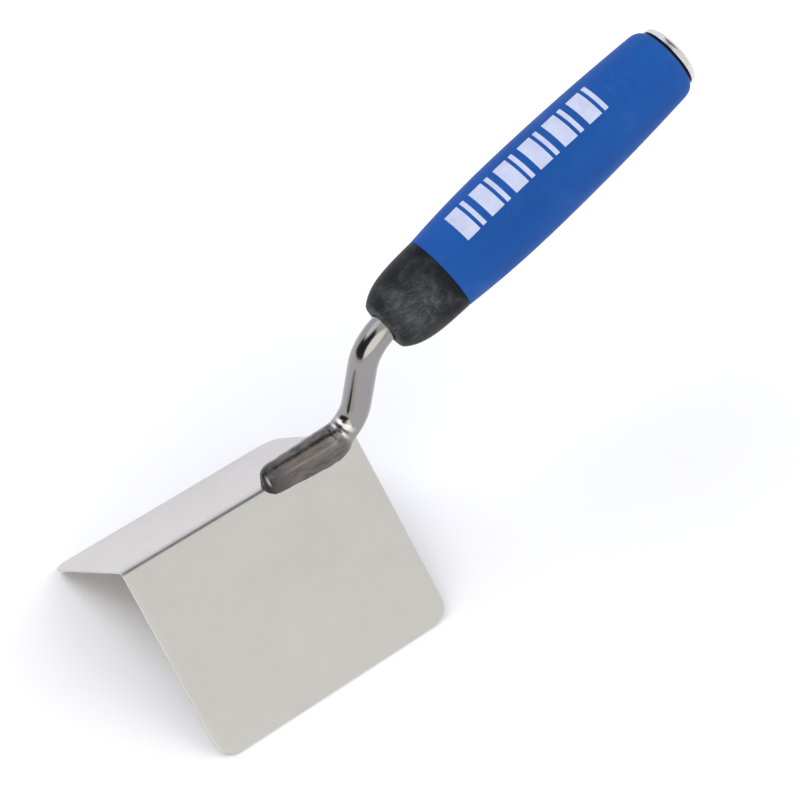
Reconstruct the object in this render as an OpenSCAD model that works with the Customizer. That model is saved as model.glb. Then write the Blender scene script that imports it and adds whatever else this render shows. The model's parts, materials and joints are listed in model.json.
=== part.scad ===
// Outside corner trowel: a folded steel blade on a forged cranked tang, with a soft-grip handle.
// +X runs along the blade's ridge towards the handle and +Z points up on the handle's side.
// The origin is where the two inner working faces would meet, half way along the blade.

/* [Blade] */
// Length of the blade along its ridge
blade_length = 80; // [60:1:110]
// Width of each wing, measured from the outside of the ridge
wing_width = 60; // [40:1:80]
// Thickness of the blade's sheet
sheet = 0.7; // [0.5:0.1:1.2]
// Angle between the two wings, opened a little past square
corner_angle = 93; // [90:0.5:100]
// Radius inside the fold
fold_radius = 1.1; // [0.8:0.1:2]
// Radius of the wings' outer corners
tip_radius = 6; // [2:0.5:12]

/* [Foot] */
// Length of the foot on the ridge, from its front end to the blade's rear edge
foot_length = 32; // [26:0.5:45]
// Width of the foot behind its rounded front end
foot_front_width = 6.2; // [5:0.1:8]
// Width of the foot at its root
foot_root_width = 7.4; // [6:0.1:9]
// Height of the foot's top above the ridge, behind its rounded front end
foot_front_height = 6.1; // [5:0.1:7.5]
// Height of the foot's top above the ridge at its root
foot_root_height = 6.9; // [5:0.1:7.5]
// Length over which the foot's front end rounds off
foot_nose = 4.5; // [2:0.5:6]
// How square the foot's section is: 2 is an ellipse, and more is squarer
foot_square = 3; // [2.2:0.1:4]
// How far round the lower bend the foot blends into the round bar, in degrees
root_blend = 45; // [20:1:60]

/* [Shank] */
// Diameter of the round shank
shank_d = 8.5; // [7:0.1:10]
// Height of the bar's axis above the ridge, where it lies along the foot
bar_height = 1; // [0.5:0.1:2]
// Angle between the rising leg and the ridge
leg_angle = 78.5; // [65:0.5:85]
// Distance from the blade's rear edge in to the foot of the leg
leg_setback = 0.6; // [0:0.1:4]
// Height from the bar's axis to the corner where the leg meets the handle's axis
neck_height = 31.5; // [26:0.5:45]
// Radius of the bend above the foot
lower_bend = 13.5; // [10:0.5:16]
// Radius of the bend below the handle
upper_bend = 15; // [10:0.5:20]
// Angle between the handle and the ridge
handle_angle = 22; // [15:0.5:35]
// How far the nose reaches over the end of the upper bend
nose_over = 1.1; // [0.5:0.1:2]
// Depth that the full shank goes into the handle
collar_depth = 10; // [6:1:14]
// Diameter of the reduced tang inside the handle
tang_d = 6.4; // [5:0.1:7]
// Length of the reduced tang
tang_length = 62; // [40:1:75]

/* [Handle] */
// Length from the nose face to the end of the grip sleeve
grip_end = 109.4; // [104:0.2:130]
// Diameter of the flat nose face
nose_d = 15; // [14:0.1:17]
// Length over which the nose swells
nose_swell = 5; // [3:0.1:7]
// Distance from the nose face to the front edge of the sleeve
seam_at = 21.4; // [18:0.1:30]
// Diameter at the front edge of the sleeve
seam_d = 23.8; // [22:0.1:26]
// Distance from the nose face to the thickest place of the grip
belly_at = 52; // [45:1:60]
// Diameter at the thickest place
belly_d = 26.7; // [25:0.1:30]
// Diameter where the sleeve's end starts to round off
butt_d = 23.1; // [22:0.1:25]
// Length of the rounded end of the sleeve
shoulder_length = 4.2; // [3:0.1:6]
// Diameter of the sleeve's end face
sleeve_end_d = 18.6; // [18:0.1:20]
// Wall of the soft sleeve
sleeve_wall = 2.2; // [1.5:0.1:3]
// Width of the sleeve's end face
sleeve_lip = 1.8; // [1:0.1:2.5]
// Width of the countersink at the mouth of the tang's bore
mouth_chamfer = 0.5; // [0.3:0.1:0.8]

/* [Butt] */
// Diameter of the core's ring under the cap
ring_d = 18.2; // [17:0.1:19]
// Thickness of that ring
ring_thick = 0.6; // [0.4:0.1:1.5]
// Diameter of the strike cap
cap_d = 19.4; // [18:0.1:21]
// Height of the cap's straight edge
cap_edge = 1; // [0.6:0.1:2]
// Height of the cap's dome
cap_dome = 2.4; // [1:0.1:3]
// Diameter of the cap's stem, pressed into the core
stem_d = 7; // [5:0.1:8]
// Length of the stem
stem_length = 14; // [8:0.5:18]
// Gap left past the end of the stem
stem_relief = 1; // [0.5:0.1:2]

/* [Hidden] */
$fn = 96;
fold_steps = 12;
tip_steps = 10;
curve_steps = 24;
past = 1;
bar_sides = 32;
bend_steps = 12;
nose_steps = 5;
nose_end = 0.45;
round_section = 2;
half_angle = corner_angle / 2;
ridge_z = sheet / sin(half_angle);
wing_end = wing_width - sheet / tan(half_angle);
fold_centre = -fold_radius / sin(half_angle);
rear_x = blade_length / 2;
bar_z = ridge_z + bar_height;
leg_x = rear_x - leg_setback;
neck_x = leg_x + neck_height / tan(leg_angle);
neck_z = bar_z + neck_height;
neck_turn = leg_angle - handle_angle;
upper_cut = upper_bend * tan(neck_turn / 2);
lower_cut = lower_bend * tan(leg_angle / 2);
bend_end_x = neck_x + upper_cut * cos(handle_angle);
bend_end_z = neck_z + upper_cut * sin(handle_angle);
nose_x = bend_end_x - nose_over * cos(handle_angle);
nose_z = bend_end_z - nose_over * sin(handle_angle);
butt_at = grip_end - shoulder_length;
neck_core_r = sleeve_end_d / 2 - sleeve_lip;
cap_seat = grip_end + ring_thick;

foot_front = rear_x - foot_length;
bar_root = leg_x - lower_cut;
bar_r = shank_d / 2;
front_half_height = foot_front_height - bar_height;
root_half_height = foot_root_height - bar_height;

function polar(r, a) = [r * cos(a), r * sin(a)];

// A round stretch of the fold, from angle a to angle b about the fold's centre.
function fold_arc(r, a, b) =
    [for (i = [0 : fold_steps]) [0, fold_centre] + polar(r, a + (b - a) * i / fold_steps)];

// A point on a wing: v along the wing from the inner corner, n out from its inner face.
function on_wing(side, v, n) =
    [side * (v * sin(half_angle) + n * cos(half_angle)), n * sin(half_angle) - v * cos(half_angle)];

// Radius of the nose, which swells quickly and then levels off.
function nose_r(u) =
    nose_d / 2 + (seam_d - nose_d) / 2 * (1 - exp(-u / nose_swell)) / (1 - exp(-seam_at / nose_swell));

// Radius of the barrel-shaped grip, a parabola either side of its thickest place.
function grip_r(u) = belly_d / 2 - (u < belly_at
    ? (belly_d - seam_d) / 2 * pow((belly_at - u) / (belly_at - seam_at), 2)
    : (belly_d - butt_d) / 2 * pow((u - belly_at) / (butt_at - belly_at), 2));

function along(a, b, i) = a + (b - a) * i / curve_steps;

// Profiles are lists of [radius, distance from the nose face].
function nose_profile() = [for (i = [0 : curve_steps]) [nose_r(along(0, seam_at, i)), along(0, seam_at, i)]];
function grip_profile(inset) =
    [for (i = [0 : curve_steps]) [grip_r(along(seam_at, butt_at, i)) - inset, along(seam_at, butt_at, i)]];
function shoulder_profile() = [for (i = [1 : curve_steps]) let (a = 90 * i / curve_steps)
    [sleeve_end_d / 2 + (butt_d - sleeve_end_d) / 2 * cos(a), butt_at + shoulder_length * sin(a)]];
function dome_profile() = [for (i = [0 : curve_steps - 1]) let (a = 90 * i / curve_steps)
    [cap_d / 2 * cos(a), cap_seat + cap_edge + cap_dome * sin(a)]];
function reversed(list) = [for (i = [len(list) - 1 : -1 : 0]) list[i]];

// Carries the handle's own frame, +Z from the nose face to the butt, into place.
module on_handle() {
    translate([nose_x, 0, nose_z])
        rotate([0, 90 - handle_angle, 0])
            children();
}

// Extrudes an outline in the YZ plane along +X.
module along_x(from_x, to_x) {
    translate([from_x, 0, 0])
        rotate([90, 0, 90])
            linear_extrude(height = to_x - from_x)
                children();
}

// The arc of a rounded corner, whose first and last facets run on past the edges they meet.
function tip_arc() = let (p = [for (i = [0 : tip_steps]) polar(tip_radius, 90 * i / tip_steps)])
    concat([2 * p[0] - p[1]], [for (i = [1 : tip_steps - 1]) p[i]], [2 * p[tip_steps] - p[tip_steps - 1]]);

// The waste outside one rounded outer corner of a wing.
module wing_corner_cut(side, front) {
    rotate([side * (half_angle - 90), 0, 0])
        scale([front, side, 1])
            translate([rear_x - tip_radius, wing_end - tip_radius, -past])
                linear_extrude(height = sheet + 2 * past)
                    polygon(concat(
                        tip_arc(),
                        [[0, tip_radius + past], [tip_radius + past, tip_radius + past]],
                        [[tip_radius + past, 0]]));
}

module blade() {
    color("gainsboro")
        difference() {
            along_x(-rear_x, rear_x)
                polygon(concat(
                    [on_wing(1, wing_end, sheet), on_wing(1, wing_end, 0)],
                    fold_arc(fold_radius, half_angle, 180 - half_angle),
                    [on_wing(-1, wing_end, 0), on_wing(-1, wing_end, sheet)],
                    fold_arc(fold_radius + sheet, 180 - half_angle, half_angle)));
            for (side = [-1, 1], front = [-1, 1])
                wing_corner_cut(side, front);
        }
}

// Eases from 0 to 1 with no corner at either end.
function ease(t) = t * t * (3 - 2 * t);
function mix(a, b, t) = a + (b - a) * t;

// A ring of the bar is [x, z, heading, half width, half height, squareness of its section].
function foot_ring(x, grow) = let (t = (x - foot_front) / (bar_root - foot_front))
    [x, bar_z, 0, mix(foot_front_width, foot_root_width, t) / 2 * grow,
     mix(front_half_height, root_half_height, t) * grow, foot_square];

// The foot's front end rounds off, and the rest of the foot is straight.
function foot_rings() = concat(
    [for (i = [0 : nose_steps]) let (a = 90 * i / nose_steps)
        foot_ring(foot_front + foot_nose * (1 - cos(a)), mix(nose_end, 1, sin(a)))],
    [foot_ring(bar_root, 1)]);

// The lower bend turns up from the foot to the leg, and the foot's section becomes round on it.
function lower_rings() =
    [for (i = [1 : bend_steps]) let (a = leg_angle * i / bend_steps, t = ease(min(1, a / root_blend)))
        [bar_root + lower_bend * sin(a), bar_z + lower_bend * (1 - cos(a)), a,
         mix(foot_root_width / 2, bar_r, t), mix(root_half_height, bar_r, t), mix(foot_square, round_section, t)]];

// The upper bend turns back from the leg to the handle's axis and ends just inside the nose.
function upper_rings() =
    [for (i = [0 : bend_steps]) let (a = leg_angle - neck_turn * i / bend_steps)
        [bend_end_x - upper_bend * (sin(a) - sin(handle_angle)),
         bend_end_z - upper_bend * (cos(handle_angle) - cos(a)), a, bar_r, bar_r, round_section]];

// The full bar goes on into the handle as a straight collar.
function collar_ring() =
    [[nose_x + collar_depth * cos(handle_angle), nose_z + collar_depth * sin(handle_angle),
      handle_angle, bar_r, bar_r, round_section]];

// Distance from a superellipse's centre to its edge, in direction a.
function edge_r(half_w, half_h, k, a) =
    1 / pow(pow(abs(cos(a)) / half_w, k) + pow(abs(sin(a)) / half_h, k), 1 / k);

function ring_points(ring) =
    [for (j = [0 : bar_sides - 1]) let (a = 360 * j / bar_sides, r = edge_r(ring[3], ring[4], ring[5], a))
        [ring[0] - r * sin(a) * sin(ring[2]), r * cos(a), ring[1] + r * sin(a) * cos(ring[2])]];

// Skins a row of rings and closes both ends.
module skin(rings) {
    last = len(rings) - 1;
    polyhedron(
        points = [for (ring = rings) each ring_points(ring)],
        faces = concat(
            [[for (j = [0 : bar_sides - 1]) j]],
            [for (i = [0 : last - 1], j = [0 : bar_sides - 1]) let (k = (j + 1) % bar_sides)
                [i * bar_sides + j, (i + 1) * bar_sides + j, (i + 1) * bar_sides + k, i * bar_sides + k]],
            [[for (j = [bar_sides - 1 : -1 : 0]) last * bar_sides + j]]));
}

// One forging: the foot that straddles the ridge, the cranked shank and the tang in the handle.
module tang() {
    color("dimgray") {
        difference() {
            skin(concat(foot_rings(), lower_rings(), upper_rings(), collar_ring()));
            along_x(foot_front - past, rear_x + past)
                polygon([[0, ridge_z], on_wing(1, wing_end, sheet), on_wing(-1, wing_end, sheet)]);
        }
        on_handle()
            translate([0, 0, collar_depth / 2])
                cylinder(d = tang_d, h = collar_depth / 2 + tang_length);
    }
}

module handle_core() {
    color([0.13, 0.13, 0.15])
        on_handle()
            difference() {
                rotate_extrude()
                    polygon(concat(
                        [[0, 0]],
                        nose_profile(),
                        grip_profile(sleeve_wall),
                        [[neck_core_r, butt_at], [neck_core_r, grip_end]],
                        [[ring_d / 2, grip_end], [ring_d / 2, cap_seat], [0, cap_seat]]));
                cylinder(d = shank_d, h = collar_depth);
                cylinder(d = tang_d, h = collar_depth + tang_length);
                translate([0, 0, -past])
                    cylinder(d1 = shank_d + 2 * mouth_chamfer * (nose_over + past) / nose_over,
                             d2 = shank_d, h = nose_over + past);
                translate([0, 0, cap_seat - stem_length - stem_relief])
                    cylinder(d = stem_d, h = stem_length + stem_relief + past);
            }
}

module grip_sleeve() {
    color([0.17, 0.36, 0.67])
        on_handle()
            rotate_extrude()
                polygon(concat(
                    grip_profile(0),
                    shoulder_profile(),
                    [[neck_core_r, grip_end], [neck_core_r, butt_at]],
                    reversed(grip_profile(sleeve_wall))));
}

module strike_cap() {
    color("silver")
        on_handle()
            rotate_extrude()
                polygon(concat(
                    [[0, cap_seat - stem_length], [stem_d / 2, cap_seat - stem_length]],
                    [[stem_d / 2, cap_seat], [cap_d / 2, cap_seat]],
                    dome_profile(),
                    [[0, cap_seat + cap_edge + cap_dome]]));
}

blade();
tang();
handle_core();
grip_sleeve();
strike_cap();
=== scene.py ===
"""Outside corner trowel: the finished surface of every piece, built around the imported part.

Every shape is a grid of points worked out from a formula, and every finish is a node material.
Lengths in the formulas are millimetres, and the meshes are in metres.
"""

import json
import math

import bpy
import numpy as np
from mathutils import Matrix, Vector


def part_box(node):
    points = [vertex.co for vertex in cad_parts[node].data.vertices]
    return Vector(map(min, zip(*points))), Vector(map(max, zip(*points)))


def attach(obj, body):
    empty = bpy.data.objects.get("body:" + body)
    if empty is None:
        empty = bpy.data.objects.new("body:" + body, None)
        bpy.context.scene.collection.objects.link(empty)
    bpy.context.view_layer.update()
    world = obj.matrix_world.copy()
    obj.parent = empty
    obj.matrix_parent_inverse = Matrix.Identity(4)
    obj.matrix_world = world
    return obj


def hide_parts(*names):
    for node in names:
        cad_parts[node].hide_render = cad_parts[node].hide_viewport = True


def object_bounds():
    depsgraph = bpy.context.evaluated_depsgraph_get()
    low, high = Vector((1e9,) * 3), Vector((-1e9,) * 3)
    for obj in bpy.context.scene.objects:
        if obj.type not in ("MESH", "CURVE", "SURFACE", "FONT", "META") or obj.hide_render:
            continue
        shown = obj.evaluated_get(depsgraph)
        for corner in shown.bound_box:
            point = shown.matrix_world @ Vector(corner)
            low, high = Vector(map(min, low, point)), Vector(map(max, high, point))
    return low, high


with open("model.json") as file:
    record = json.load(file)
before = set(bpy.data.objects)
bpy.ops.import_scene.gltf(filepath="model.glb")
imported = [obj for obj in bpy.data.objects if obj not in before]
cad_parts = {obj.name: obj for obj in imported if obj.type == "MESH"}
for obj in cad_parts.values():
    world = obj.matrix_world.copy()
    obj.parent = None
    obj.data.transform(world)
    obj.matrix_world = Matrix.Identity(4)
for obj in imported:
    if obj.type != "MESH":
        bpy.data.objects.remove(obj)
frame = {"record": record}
cad_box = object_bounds()

bl_info = {
    "name": "Outside corner trowel",
    "version": (1, 0, 0),
    "blender": (4, 5, 0),
    "location": "3D View > Sidebar > Trowel",
    "description": "Builds the blade, shank, handle and strike cap of an outside corner trowel",
    "category": "Add Mesh",
}

MM = 0.001
MOUNTS = {mount["name"]: mount for mount in frame["record"]["mounts"]}

# The handle's own axes: along it from the nose to the butt, up out of its top, and across it.
ALONG = np.array(MOUNTS["hand_grip"]["axis"], float)
ACROSS = np.array([0.0, 1.0, 0.0])
TOP = np.cross(ALONG, ACROSS)
HANDLE_TILT = math.atan2(ALONG[2], ALONG[0])

# Half the angle between the wings, from the way a working face looks.
FACE_AXIS = MOUNTS["left_working_face"]["axis"]
HALF_ANGLE = math.atan2(-FACE_AXIS[2], -FACE_AXIS[1])

BLADE_LOW, BLADE_HIGH = (np.array(corner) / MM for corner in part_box("blade"))


# ---- sizes and colours

def length(name, value, note):
    """A size in millimetres, kept in metres."""
    return bpy.props.FloatProperty(name=name, description=note, default=value * MM, min=0.0,
                                   precision=5, unit="LENGTH")


def turn(name, value, note):
    """An angle in degrees, kept in radians."""
    return bpy.props.FloatProperty(name=name, description=note, default=math.radians(value),
                                   unit="ROTATION")


def share(name, value, note):
    """A plain number from 0 to 1."""
    return bpy.props.FloatProperty(name=name, description=note, default=value, min=0.0, max=1.0,
                                   subtype="FACTOR")


def colour(name, value, note):
    """A colour, in linear values."""
    return bpy.props.FloatVectorProperty(name=name, description=note, default=value, size=3,
                                         min=0.0, max=1.0, subtype="COLOR")


class TrowelBlade(bpy.types.PropertyGroup):
    sheet: length("Sheet", 0.7, "Thickness of the sheet")
    fold: length("Fold radius", 1.1, "Radius inside the fold")
    tip: length("Tip radius", 6.0, "Radius of the wings' outer corners")
    ease: length("Eased edge", 0.14, "Radius of the sheet's eased edges")
    steel: colour("Steel", (0.645, 0.627, 0.597), "Colour of the satin sheet")
    roughness: share("Roughness", 0.36, "How dull the satin sheet is")


class TrowelTang(bpy.types.PropertyGroup):
    diameter: length("Shank diameter", 8.5, "Diameter of the round shank")
    foot: length("Foot length", 32.0, "From the foot's front end to the blade's rear edge")
    front_width: length("Front width", 5.8, "Width of the foot near its front end")
    root_width: length("Root width", 7.4, "Width of the foot at its root")
    front_height: length("Front height", 6.1, "Height above the ridge near the foot's front end")
    root_height: length("Root height", 6.9, "Height above the ridge at the foot's root")
    bevel: turn("Bevel", 46.0, "How far the foot's side bevels lean back from upright")
    shoulder: length("Foot shoulder", 3.5, "Height of the bevels' lower edge above the bar's axis")
    axis_height: length("Axis height", 1.0, "Height of the bar's axis above the ridge")
    setback: length("Setback", 0.6, "From the blade's rear edge in to the foot of the leg")
    neck: length("Neck height", 31.5, "From the bar's axis up to the handle's axis")
    leg: turn("Leg angle", 78.5, "Angle between the leg and the ridge")
    lower_bend: length("Lower bend", 13.5, "Radius of the bend above the foot")
    upper_bend: length("Upper bend", 15.0, "Radius of the bend below the handle")
    collar: length("Collar", 10.0, "How deep the full shank goes into the handle")
    inner: length("Tang diameter", 6.4, "Diameter of the tang inside the handle")
    inner_length: length("Tang length", 62.0, "Length of the tang inside the handle")
    forged: colour("Forged steel", (0.200, 0.184, 0.176), "Colour of the ground forging")
    # Forging scale's colour, also painted as shade into the bend's troughs, the creases beside the
    # flat top and the foot's front end.
    scale: colour("Forging scale and painted shade", (0.045, 0.042, 0.045), "Colour of what the wheel missed, also painted as shade in creases, troughs and the front end")
    warm: colour("Warm steel", (0.205, 0.165, 0.130), "Colour of the foot's ground bevels")
    streak: colour("Grinding streaks", (0.33, 0.31, 0.30), "Colour of the wheel's fresh streaks")
    bright: colour("Bright steel", (0.315, 0.306, 0.303), "Colour of the polished shank")
    # Near white: also painted on the bend's crests and on the lip behind the foot's front end as
    # highlights.
    burnish_highlight_colour: colour("Burnished steel and painted highlight", (0.95, 0.94, 0.92), "Colour of the rubbed crests, also painted on them and the lip as highlights")


class TrowelHandle(bpy.types.PropertyGroup):
    nose: length("Nose diameter", 15.0, "Diameter of the flat nose face")
    swell: length("Nose swell", 5.0, "Length over which the nose swells")
    seam_at: length("Seam", 21.4, "From the nose face to the sleeve's front edge")
    seam: length("Seam diameter", 23.8, "Diameter at the sleeve's front edge")
    belly_at: length("Belly", 52.0, "From the nose face to the thickest place")
    belly: length("Belly diameter", 26.7, "Diameter at the thickest place")
    butt: length("Butt diameter", 23.1, "Diameter where the sleeve's end rounds off")
    shoulder: length("Shoulder", 4.2, "Length of the sleeve's rounded end")
    end_at: length("End", 109.4, "From the nose face to the sleeve's end")
    end: length("End diameter", 18.6, "Diameter of the sleeve's end face")
    wall: length("Sleeve wall", 2.2, "Wall of the soft sleeve")
    lip: length("Sleeve lip", 1.8, "Width of the sleeve's end face")
    reveal: length("Reveal", 0.18, "How far the sleeve's end stops short of the core's ring")
    mouth: length("Mouth", 0.5, "Width of the countersink round the shank")
    mouth_depth: length("Mouth depth", 1.1, "Depth of that countersink")
    ring: length("Ring diameter", 18.2, "Diameter of the core's ring under the cap")
    ring_thick: length("Ring", 0.6, "Thickness of that ring")
    plastic: colour("Plastic", (0.0065, 0.0067, 0.0105), "Colour of the hard core")
    scuff: colour("Scuffs", (0.086, 0.090, 0.092), "Colour of the core's scuffs")
    rubber: colour("Rubber", (0.0110, 0.0745, 0.308), "Colour of the soft sleeve")
    rubbed: colour("Rubbed rubber", (0.10, 0.20, 0.48), "Colour of the sleeve where a hand rubs it")
    pits: colour("Rubber's pits", (0.01, 0.06, 0.28), "Colour of the low spots in its grain")
    ink: colour("Ink", (0.50, 0.545, 0.74), "Colour of the printed bars")


class TrowelCap(bpy.types.PropertyGroup):
    diameter: length("Cap diameter", 19.4, "Diameter of the strike cap")
    edge: length("Cap edge", 1.0, "Height of the cap's straight edge")
    dome: length("Cap dome", 2.4, "Height of the cap's dome")
    stem: length("Stem diameter", 7.0, "Diameter of the stem in the core")
    stem_length: length("Stem length", 14.0, "Length of the stem")
    relief: length("Stem relief", 1.0, "Gap past the end of the stem")
    steel: colour("Cap steel", (0.80, 0.79, 0.775), "Colour of the polished cap")


class TrowelStage(bpy.types.PropertyGroup):
    azimuth: turn("Azimuth", -36.861, "Way round the part that the camera stands")
    elevation: turn("Elevation", 47.861, "Height of the camera above the horizon")
    roll: turn("Roll", -1.88, "Turn of the camera about its own axis")
    distance: length("Distance", 709.0, "From the camera to what it aims at")
    aim: bpy.props.FloatVectorProperty(
        name="Aim", description="What the camera aims at, from the middle of the part's box",
        default=(-0.01786, -0.01999, 0.00741), size=3, subtype="XYZ_LENGTH", precision=5)
    lens: bpy.props.FloatProperty(name="Lens", description="Focal length in millimetres",
                                  default=117.29, min=1.0, unit="CAMERA")
    floor: colour("Floor", (0.865, 0.865, 0.89), "Colour of the pale floor")


GROUPS = {
    "trowel_blade": TrowelBlade,
    "trowel_tang": TrowelTang,
    "trowel_handle": TrowelHandle,
    "trowel_cap": TrowelCap,
    "trowel_stage": TrowelStage,
}


def chosen(group_name):
    """What a group holds, by name: lengths in millimetres, colours as tuples, the rest as it is."""
    group, found = getattr(bpy.context.scene, group_name), {}
    for name, prop in group.bl_rna.properties.items():
        if prop.type == "FLOAT":
            value = getattr(group, name)
            if prop.is_array:
                value = tuple(value)
            elif prop.unit == "LENGTH":
                value /= MM
            found[name] = value
    return type("Chosen", (), found)


# ---- meshes from grids

def ring_faces(rings, points, loop):
    """Quads of a grid of rings, each of which closes on itself.

    With loop, the last ring joins the first.
    """
    i, j = np.meshgrid(np.arange(rings if loop else rings - 1), np.arange(points), indexing="ij")
    below, above, beside = i * points, (i + 1) % rings * points, (j + 1) % points
    return np.stack([below + j, below + beside, above + beside, above + j], -1).reshape(-1, 4)


def tube(rings, loop=False):
    """A closed skin over a row of rings, shaped (rings, points, 3), as its corners and its faces.

    Each end is closed by a fan of triangles about the mean of its ring. With loop, the last ring
    joins the first, and there are no ends. The faces are one array of quads and one for each fan.
    """
    count, points, _ = rings.shape
    corners = rings.reshape(-1, 3)
    faces = [ring_faces(count, points, loop)]
    if not loop:
        here = np.arange(points)
        beside = (here + 1) % points
        end, first, last = (count - 1) * points, len(corners), len(corners) + 1
        corners = np.vstack([corners, rings[0].mean(0), rings[-1].mean(0)])
        faces += [np.stack([beside, here, np.full(points, first)], -1),
                  np.stack([end + here, end + beside, np.full(points, last)], -1)]
    return corners, faces


def volume(corners, faces):
    """Signed volume of a closed shell, which is positive when its faces point outwards.

    It is a sixth of the sum, over the triangles, of a . (b x c).
    """
    triangles = np.vstack([group[:, [0, k, k + 1]] for group in faces
                           for k in range(1, group.shape[1] - 1)])
    a, b, c = (corners[triangles[:, k]] for k in range(3))
    return np.einsum("ij,ij->", a, np.cross(b, c)) / 6


def new_object(name, data):
    """An object in the scene, at the origin."""
    thing = bpy.data.objects.new(name, data)
    bpy.context.scene.collection.objects.link(thing)
    return thing


def add_piece(name, shells, material, crease, nodes=()):
    """Puts closed shells, in millimetres, into one object that rides on the part's body.

    Faces are turned to point outwards, and edges sharper than the crease, in degrees, stay sharp.
    """
    corners, faces = np.zeros((0, 3)), []
    for shell_corners, shell_faces in shells:
        order = 1 if volume(shell_corners, shell_faces) > 0 else -1
        for group in shell_faces:
            faces += (group[:, ::order] + len(corners)).tolist()
        corners = np.vstack([corners, shell_corners])
    mesh = bpy.data.meshes.new(name)
    mesh.from_pydata((corners * MM).tolist(), [], faces)
    mesh.shade_smooth()
    mesh.set_sharp_from_angle(angle=math.radians(crease))
    mesh.materials.append(material)
    piece = new_object(name, mesh)
    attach(piece, "root")
    if nodes:
        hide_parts(*nodes)
    return piece


def mix(a, b, t):
    """From a to b as t goes from 0 to 1."""
    return a + (b - a) * t


def smooth(t):
    """Eases from 0 to 1 with no corner at either end."""
    t = np.clip(t, 0.0, 1.0)
    return t * t * (3 - 2 * t)


def rise(t, start, span):
    """Eases from 0 at the start to 1 a span later."""
    return smooth((t - start) / span)


def bump(t, middle, width):
    """A bell-shaped rise of height 1 about the middle."""
    return np.exp(-((t - middle) / width) ** 2)


def bumps(t, rows):
    """A sum of bell-shaped rises, each given as its height, middle and width."""
    return sum(height * bump(t, middle, width) for height, middle, width in rows)


def full_turn(count):
    """Angles once round, in a row, with no angle twice."""
    return np.linspace(0, 2 * math.pi, count, endpoint=False)[None, :]


def arc(middle, radius, start, end, steps):
    """Points of a circular arc in a plane, by angle in degrees."""
    angle = np.radians(np.linspace(start, end, steps + 1))
    return np.array(middle) + radius * np.stack([np.cos(angle), np.sin(angle)], -1)


# ---- materials

def shade(tone, by):
    """A colour made darker or lighter."""
    return [value * by for value in tone]


def add_node(tree, kind, inputs, **settings):
    """Adds a node, with its settings, and its inputs as values or as sockets to join."""
    node = tree.nodes.new("ShaderNode" + kind)
    for key, value in settings.items():
        setattr(node, key, value)
    for key, value in inputs.items():
        if isinstance(value, bpy.types.NodeSocket):
            tree.links.new(value, node.inputs[key])
        else:
            node.inputs[key].default_value = value
    return node


class Finish:
    """One material's nodes, with short ways to add and join them."""

    def __init__(self, name, **fixed):
        self.material = bpy.data.materials.new(name)
        self.material.use_nodes = True
        self.tree = self.material.node_tree
        self.shader = self.tree.nodes["Principled BSDF"]
        self.place = self.add("TexCoord", {}, "Object")
        for socket, value in fixed.items():
            self.shader.inputs[socket.replace("_", " ")].default_value = value

    def add(self, kind, inputs, output=0, **settings):
        """Adds a node to the material, and gives one of its outputs."""
        return add_node(self.tree, kind, inputs, **settings).outputs[output]

    def stretched(self, turned=(0, 0, 0), scale=(1, 1, 1)):
        """Object coordinates, turned in degrees and then scaled."""
        turning = self.add("Mapping", {
            "Vector": self.place, "Rotation": [math.radians(a) for a in turned]})
        return self.add("Mapping", {"Vector": turning, "Scale": scale})

    def noise(self, size, detail=4.0, roughness=0.55, place=None, distortion=0.0):
        """Noise from 0 to 1 with features about that many millimetres across."""
        return self.add("TexNoise", {
            "Vector": place or self.place, "Scale": 1 / (size * MM), "Detail": detail,
            "Roughness": roughness, "Distortion": distortion}, "Fac")

    def span(self, value, low, high, to_low=0.0, to_high=1.0):
        """Maps a value between low and high to another span, and holds it there."""
        return self.add("MapRange", {
            "Value": value, "From Min": low, "From Max": high,
            "To Min": to_low, "To Max": to_high}, clamp=True)

    def sum(self, a, b, operation="ADD"):
        """Adds or multiplies two values, or takes the larger."""
        return self.add("Math", {0: a, 1: b}, operation=operation)

    def blend(self, amount, a, b, kind="MIX"):
        """Mixes two colours."""
        a, b = (value if isinstance(value, bpy.types.NodeSocket) else (*value, 1.0)
                for value in (a, b))
        return self.add("Mix", {0: amount, 6: a, 7: b}, 2, data_type="RGBA",
                        blend_type=kind)

    def relief(self, height, depth, strength=1.0, under=None):
        """A bump of that depth in millimetres, over another bump where there is one."""
        inputs = {"Height": height, "Distance": depth * MM, "Strength": strength}
        if under:
            inputs["Normal"] = under
        return self.add("Bump", inputs)

    def wear(self, name):
        """A value that the mesh itself carries at its points."""
        return self.add("Attribute", {}, "Fac", attribute_name=name)

    def done(self, **joined):
        """Joins values to the shader's sockets by name, and gives the material."""
        for socket, value in joined.items():
            self.tree.links.new(value, self.shader.inputs[socket.replace("_", " ")])
        return self.material


def satin_sheet(look):
    """Rolled stainless sheet: a cloudy satin with grain along the ridge and a few faint rubs."""
    finish = Finish("satin_sheet", Metallic=1.0)
    clouds = finish.noise(22, 3, 0.5)
    grain = finish.noise(1, 5, 0.65, finish.stretched(scale=(0.05, 3.0, 3.0)))
    rubs = finish.noise(7, 3, 0.5, distortion=0.6)
    base = finish.blend(finish.span(clouds, 0.3, 0.7), shade(look.steel, 0.975),
                        shade(look.steel, 1.02))
    streaks = finish.span(grain, 0.35, 0.65, 0.988, 1.01)
    grey = finish.add("CombineColor", {0: streaks, 1: streaks, 2: streaks})
    dull = finish.span(grain, 0.3, 0.7, look.roughness - 0.02, look.roughness + 0.02)
    return finish.done(Base_Color=finish.blend(1.0, base, grey, "MULTIPLY"),
                       Roughness=finish.sum(dull, finish.span(rubs, 0.45, 0.75, 0.0, 0.05)),
                       Normal=finish.relief(grain, 0.004, 0.4))


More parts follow.
